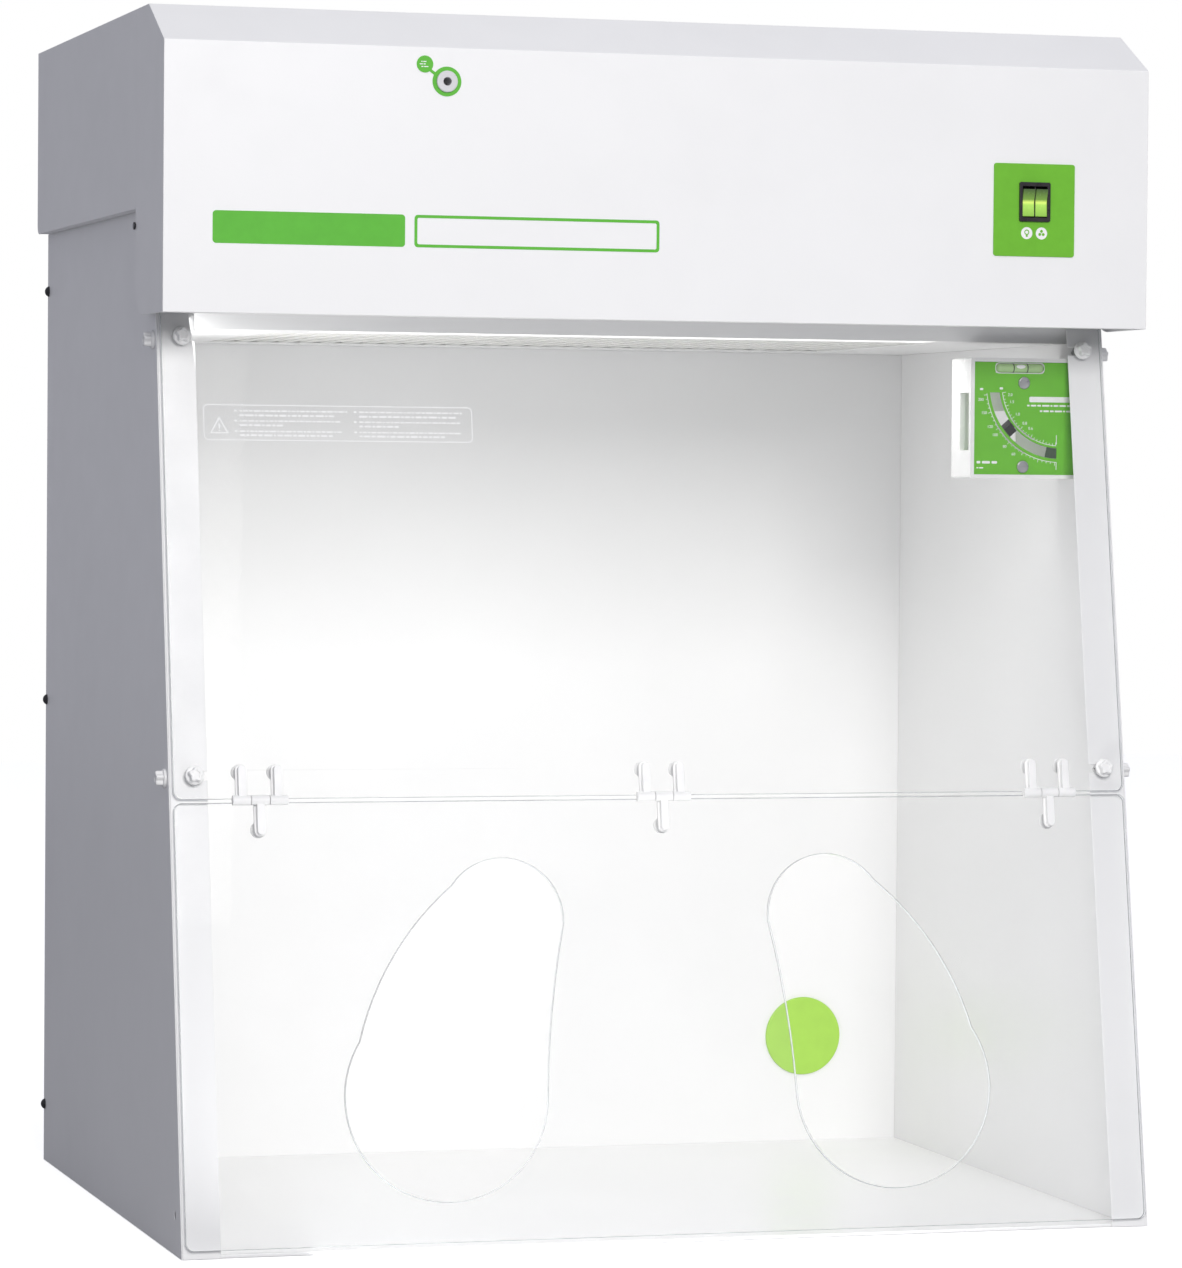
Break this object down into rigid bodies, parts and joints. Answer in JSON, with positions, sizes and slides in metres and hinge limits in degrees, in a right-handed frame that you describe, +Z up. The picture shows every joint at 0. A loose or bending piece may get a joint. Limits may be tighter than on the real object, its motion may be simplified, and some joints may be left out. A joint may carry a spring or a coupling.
{
  "type": "fume hood",
  "caption": "Ductless bench fume hood: white cabin with a leaning clear front, a hinged lower flap with arm holes and a filter and fan header.",
  "frame": {"origin": "bottom centre of the hood's bounding box, on the bench", "axes": "+Z up, front faces -Y, +X to the right seen from the front"},
  "size_m": [0.8736, 0.6448, 1.036],
  "materials": {
    "white_paint": "semi-gloss epoxy powder coat",
    "worktop_white": "smooth white coat",
    "clear_acrylic": "clear, polished edges",
    "white_plastic": "moulded, satin",
    "zinc_steel": "zinc plated",
    "black_steel": "black oxide",
    "switch_green": "printed polycarbonate plate",
    "black_plastic": "moulded, satin",
    "rocker_green": "lit, translucent",
    "cap_green": "moulded, satin",
    "label_green": "printed film",
    "gauge_white": "moulded",
    "dial_green": "printed plate",
    "vane_black": "light moulding",
    "level_glass": "clear tube",
    "port_grey": "moulded",
    "galvanised": "galvanised sheet",
    "filter_fibre": "pleated fibre mat",
    "carbon": "granular bed",
    "gasket": "closed-cell foam rubber",
    "fan_black": "glass-filled nylon",
    "motor_grey": "die-cast, painted",
    "diffuser": "opal",
    "lamp_glass": "opal tube"
  },
  "bodies": {
    "hood": {"worktop": "worktop_white", "side_panel_left": "white_paint", "side_panel_right": "white_paint", "side_liner_left": "white_paint", "side_liner_right": "white_paint", "front_post_left": "white_paint", "front_post_right": "white_paint", "back_panel": "white_paint", "back_wall": "white_paint", "back_screws": "black_steel", "port_cap": "cap_green", "header_housing": "white_paint", "front_cover": "white_paint", "cover_screws": "black_steel", "sampling_port": "port_grey", "port_label": "label_green", "switch_plate": "switch_green", "switch_body": "black_plastic", "ceiling_plate": "white_paint", "lamp_diffuser": "diffuser", "lamp_tube": "lamp_glass", "lamp_base": "galvanised", "prefilter": "filter_fibre", "filter_cassette": "galvanised", "carbon_bed": "carbon", "filter_gasket": "gasket", "filter_rails": "galvanised", "fan_plate": "galvanised", "inlet_ring": "galvanised", "fan_motor": "motor_grey", "motor_bridge": "galvanised", "exhaust_grille": "white_paint", "power_inlet": "black_plastic", "terminal_box": "port_grey", "upper_window": "clear_acrylic", "hinge_leaf_left": "white_plastic", "hinge_leaf_centre": "white_plastic", "hinge_leaf_right": "white_plastic", "hinge_pins_and_rivets": "white_plastic", "knob_nuts": "zinc_steel", "gauge_case": "gauge_white", "gauge_dial": "dial_green", "gauge_pin": "zinc_steel", "gauge_level": "level_glass", "gauge_screws": "zinc_steel"},
    "flap": {"lower_flap": "clear_acrylic", "flap_hinge_leaves": "white_plastic", "flap_rivets": "white_plastic"},
    "light_switch": {"rocker_light": "rocker_green"},
    "fan_switch": {"rocker_fan": "rocker_green"},
    "fan_rotor": {"fan_impeller": "fan_black"},
    "vane": {"gauge_vane": "vane_black"},
    "front_knob_upper_left": {"front_knob_upper_left": "white_plastic"},
    "side_knob_upper_left": {"side_knob_upper_left": "white_plastic"},
    "front_knob_upper_right": {"front_knob_upper_right": "white_plastic"},
    "side_knob_upper_right": {"side_knob_upper_right": "white_plastic"},
    "front_knob_lower_left": {"front_knob_lower_left": "white_plastic"},
    "side_knob_lower_left": {"side_knob_lower_left": "white_plastic"},
    "front_knob_lower_right": {"front_knob_lower_right": "white_plastic"},
    "side_knob_lower_right": {"side_knob_lower_right": "white_plastic"}
  },
  "joints": [
    {"name": "flap_swing", "type": "hinge", "parent": "hood", "child": "flap", "pos_m": [0, -0.26571, 0.37268], "axis": [-1, 0, 0], "range_deg": [0, 135]},
    {"name": "light_switch_rock", "type": "hinge", "parent": "hood", "child": "light_switch", "pos_m": [0.3295, -0.26457, 0.8835], "axis": [1, 0, 0], "range_deg": [-14, 0]},
    {"name": "fan_switch_rock", "type": "hinge", "parent": "hood", "child": "fan_switch", "pos_m": [0.3295, -0.26457, 0.8835], "axis": [1, 0, 0], "range_deg": [-14, 0]},
    {"name": "fan_spin", "type": "hinge", "parent": "hood", "child": "fan_rotor", "pos_m": [0, 0.06243, 0.95], "axis": [0, 0, 1], "continuous": true},
    {"name": "vane_swing", "type": "hinge", "parent": "hood", "child": "vane", "pos_m": [0.387, -0.18357, 0.728], "axis": [0, 1, 0], "range_deg": [-41, 29]},
    {"name": "front_knob_upper_left_turn", "type": "hinge", "parent": "hood", "child": "front_knob_upper_left", "pos_m": [-0.404, -0.1971, 0.75835], "axis": [0, 0.9864, -0.1646], "continuous": true},
    {"name": "side_knob_upper_left_turn", "type": "hinge", "parent": "hood", "child": "side_knob_upper_left", "pos_m": [-0.425, -0.17959, 0.75503], "axis": [-1, 0, 0], "continuous": true},
    {"name": "front_knob_upper_right_turn", "type": "hinge", "parent": "hood", "child": "front_knob_upper_right", "pos_m": [0.404, -0.1971, 0.75835], "axis": [0, 0.9864, -0.1646], "continuous": true},
    {"name": "side_knob_upper_right_turn", "type": "hinge", "parent": "hood", "child": "side_knob_upper_right", "pos_m": [0.425, -0.17959, 0.75503], "axis": [1, 0, 0], "continuous": true},
    {"name": "front_knob_lower_left_turn", "type": "hinge", "parent": "hood", "child": "front_knob_lower_left", "pos_m": [-0.404, -0.25803, 0.3932], "axis": [0, 0.9864, -0.1646], "continuous": true},
    {"name": "side_knob_lower_left_turn", "type": "hinge", "parent": "hood", "child": "side_knob_lower_left", "pos_m": [-0.425, -0.24052, 0.38988], "axis": [-1, 0, 0], "continuous": true},
    {"name": "front_knob_lower_right_turn", "type": "hinge", "parent": "hood", "child": "front_knob_lower_right", "pos_m": [0.404, -0.25803, 0.3932], "axis": [0, 0.9864, -0.1646], "continuous": true},
    {"name": "side_knob_lower_right_turn", "type": "hinge", "parent": "hood", "child": "side_knob_lower_right", "pos_m": [0.425, -0.24052, 0.38988], "axis": [1, 0, 0], "continuous": true}
  ]
}
